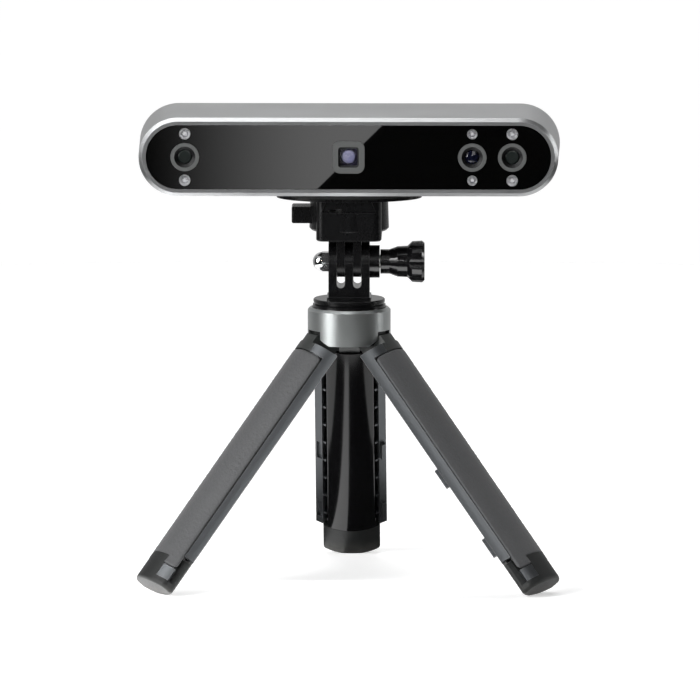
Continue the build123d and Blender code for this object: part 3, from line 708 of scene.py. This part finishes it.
# ---------------------------------------------------------------- floor, light and camera
# A pale matt floor under a white backdrop that only the camera sees. Of two soft lights on the left one
# shows only in reflections and one only lights; a weak strip stands right and a broad light hangs behind.
# The camera looks on in parallel from a little above, and cards that only reflections see do the rest.

FLOOR_SIDES = 64
FLOOR_NEAR = 0.22
FLOOR_RADIUS = 0.9
FLOOR_WHITE = (0.86, 0.86, 0.86)
FLOOR_GLOW = 0.55
BACKDROP_RADIUS = 5.0
BLACK = (0.0, 0.0, 0.0)
WHITE = (1.0, 1.0, 1.0)


def stage_mesh(name, data, finish):
    """Show a mesh that isn't part of the object."""
    data.materials.append(finish.material)
    made = bpy.data.objects.new(name, data)
    bpy.context.scene.collection.objects.link(made)
    return made


def stage_card(name, corners, colour, glow, faces=None):
    """A flat card of one face, or of the faces given."""
    data = bpy.data.meshes.new(name)
    data.from_pydata([Vector(corner) for corner in corners], [], faces or [tuple(range(len(corners)))])
    lit = {"Emission_Color": colour, "Emission_Strength": glow}
    return stage_mesh(name, data, Finish(name + "_card", Base_Color=colour, Roughness=0.9, **lit))


def floor_ring(radius):
    steps = (math.tau * step / FLOOR_SIDES for step in range(FLOOR_SIDES))
    return [(radius * math.cos(angle), radius * math.sin(angle), 0.0) for angle in steps]


# The floor is in two parts, because its far part is kept out of reflections.
stage_card("floor_near", floor_ring(FLOOR_NEAR), FLOOR_WHITE, FLOOR_GLOW)
far_faces = []
for step in range(FLOOR_SIDES):
    onward = (step + 1) % FLOOR_SIDES
    far_faces.append((step, FLOOR_SIDES + step, FLOOR_SIDES + onward, onward))
far_corners = floor_ring(FLOOR_NEAR) + floor_ring(FLOOR_RADIUS)
floor_far = stage_card("floor_far", far_corners, FLOOR_WHITE, FLOOR_GLOW, far_faces)
floor_far.visible_glossy = False

backdrop_ball = bmesh.new()
bmesh.ops.create_icosphere(backdrop_ball, subdivisions=4, radius=BACKDROP_RADIUS)
backdrop_data = bpy.data.meshes.new("backdrop")
backdrop_ball.to_mesh(backdrop_data)
backdrop_ball.free()
white_wall = Finish("white_wall", Base_Color=BLACK, Emission_Color=WHITE, Emission_Strength=1.0)
backdrop = stage_mesh("backdrop", backdrop_data, white_wall)
backdrop.visible_diffuse = False
backdrop.visible_glossy = False
backdrop.visible_transmission = False
backdrop.visible_shadow = False


def only_reflected(card):
    card.visible_camera = False
    card.visible_diffuse = False
    card.visible_transmission = False
    card.visible_shadow = False


def level_card(name, left, right, front, rear, height, glow):
    """A level card that only reflections see: dark to hold light back, or lit to add it."""
    corners = [(left, front, height), (right, front, height), (right, rear, height), (left, rear, height)]
    only_reflected(stage_card(name, corners, (glow, glow, glow), 1.0))


level_card("dark_flag", left=-0.035, right=0.035, front=-0.01, rear=0.12, height=0.0002, glow=0.0)
level_card("light_strip", left=-0.0135, right=-0.003, front=-0.01, rear=0.12, height=0.0004, glow=1.5)
level_card("rim_light", left=-0.12, right=0.025, front=-0.18, rear=-0.018, height=0.0003, glow=2.0)
level_card("ceiling_card", left=-0.5, right=0.05, front=-0.25, rear=0.02, height=0.6, glow=1.6)


def front_card(name, left, right, low, high, low_front, high_front, glow, strength):
    """A card in front that only reflections see, which may lean from its low edge to its high one."""
    corners = [
        (left, low_front, low),
        (right, low_front, low),
        (right, high_front, high),
        (left, high_front, high),
    ]
    only_reflected(stage_card(name, corners, (glow, glow, glow), strength))


front_card(
    "leg_card", left=0.04, right=0.5, low=0.42, high=0.95,
    low_front=-0.9, high_front=-0.62, glow=1.5, strength=1.0,
)
GLINT_SIZE = 0.05
GLINT_AWAY = 1.0
GLINT_LOW = 0.34
for name, left in (("left_glint", -0.175), ("right_glint", 0.085)):
    front_card(
        name, left, left + GLINT_SIZE, low=GLINT_LOW, high=GLINT_LOW + GLINT_SIZE,
        low_front=-GLINT_AWAY, high_front=-GLINT_AWAY, glow=1.0, strength=40.0,
    )

AIM_HEIGHT = 0.1


def soft_light(name, azimuth, elevation, distance, width, height, power):
    """An area light aimed at the object. Azimuth 0 is in front and 90 to the right."""
    turn = math.radians(azimuth)
    rise = math.radians(elevation)
    away = Vector((math.sin(turn) * math.cos(rise), -math.cos(turn) * math.cos(rise), math.sin(rise)))
    data = bpy.data.lights.new(name, "AREA")
    data.shape = "RECTANGLE"
    data.size = width
    data.size_y = height
    data.energy = power
    lamp = bpy.data.objects.new(name, data)
    lamp.location = Vector((0.0, 0.0, AIM_HEIGHT)) + away * distance
    lamp.rotation_mode = "QUATERNION"
    lamp.rotation_quaternion = (-away).to_track_quat("-Z", "Y")
    bpy.context.scene.collection.objects.link(lamp)
    return lamp


gleam = soft_light("left_softbox", azimuth=-56, elevation=20, distance=1.3, width=0.6, height=1.0, power=24)
gleam.visible_diffuse = False
fill = soft_light("left_fill", azimuth=-48, elevation=22, distance=1.3, width=0.8, height=0.8, power=20)
fill.visible_glossy = False
soft_light("right_strip", azimuth=93, elevation=15, distance=1.4, width=0.2, height=0.9, power=5)
soft_light("overhead", azimuth=180, elevation=62, distance=1.4, width=1.2, height=0.7, power=8)

# The studio is dim in front of the object and brightens behind it.
world = bpy.data.worlds.new("studio")
bpy.context.scene.world = world
world.use_nodes = True
studio = world.node_tree
sky = studio.nodes["Background"]
sky.inputs["Color"].default_value = (*WHITE, 1.0)
heading = studio.nodes.new("ShaderNodeTexCoord")
parts = studio.nodes.new("ShaderNodeSeparateXYZ")
behind = studio.nodes.new("ShaderNodeMapRange")
behind.interpolation_type = "SMOOTHSTEP"
for key, value in {"From Min": -0.2, "From Max": 1.0, "To Min": 0.012, "To Max": 0.5}.items():
    behind.inputs[key].default_value = value
studio.links.new(heading.outputs["Generated"], parts.inputs[0])
studio.links.new(parts.outputs["Y"], behind.inputs["Value"])
studio.links.new(behind.outputs[0], sky.inputs["Strength"])

CAMERA_RISE = math.radians(7.35)
CAMERA_TURN = math.radians(0.7)
CAMERA_AWAY = 2.6
VIEW_WIDTH = 0.2573
LOOK_HEIGHT = 0.0854
LOOK_LEFT = 0.0003
to_camera = Vector((
    math.sin(CAMERA_TURN) * math.cos(CAMERA_RISE),
    -math.cos(CAMERA_TURN) * math.cos(CAMERA_RISE),
    math.sin(CAMERA_RISE),
))
camera_data = bpy.data.cameras.new("camera")
camera_data.type = "ORTHO"
camera_data.ortho_scale = VIEW_WIDTH
camera_data.clip_start = 0.05
camera = bpy.data.objects.new("camera", camera_data)
camera.location = Vector((tripod_axis.x + LOOK_LEFT, tripod_axis.y, LOOK_HEIGHT)) + to_camera * CAMERA_AWAY
camera.rotation_mode = "QUATERNION"
camera.rotation_quaternion = (-to_camera).to_track_quat("-Z", "Y")
bpy.context.scene.collection.objects.link(camera)
bpy.context.scene.camera = camera
bpy.context.scene.view_settings.view_transform = "Standard"

# One more card draws a slanting patch of light across the black panel, fading out to the left.
PATCH_AWAY = 0.6
PATCH_LEFT = -0.078
PATCH_BRIGHTEST = 0.0
PATCH_LOW = 0.142
PATCH_HIGH = 0.1785
PATCH_SLANT_LOW = -0.0175
PATCH_SLANT_HIGH = 0.0195
PATCH_GLOW = 2.6
panel_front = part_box("front_panel")[0].y


def on_card(x, z):
    """Where the camera's line, mirrored by the panel at that place, meets the card."""
    mirrored = Vector((-to_camera.x, to_camera.y, -to_camera.z))
    return Vector((x, panel_front, z)) + mirrored * (PATCH_AWAY / -mirrored.y)


patch_corners = [
    on_card(PATCH_LEFT, PATCH_LOW),
    on_card(PATCH_SLANT_LOW, PATCH_LOW),
    on_card(PATCH_SLANT_HIGH, PATCH_HIGH),
    on_card(PATCH_LEFT, PATCH_HIGH),
]
patch_data = bpy.data.meshes.new("reflector")
patch_data.from_pydata(patch_corners, [], [(0, 1, 2, 3)])
patch_glow = Finish("reflector_glow", Base_Color=BLACK, Emission_Strength=PATCH_GLOW)
fades_out = on_card(PATCH_LEFT, PATCH_LOW).x
brightest = on_card(PATCH_BRIGHTEST, PATCH_LOW).x
across_patch = patch_glow.place().part("X").between(fades_out, brightest)
patch_glow.feed(patch_glow.shader.inputs["Emission Color"], patch_glow.mix(across_patch, BLACK, WHITE))
only_reflected(stage_mesh("reflector", patch_data, patch_glow))
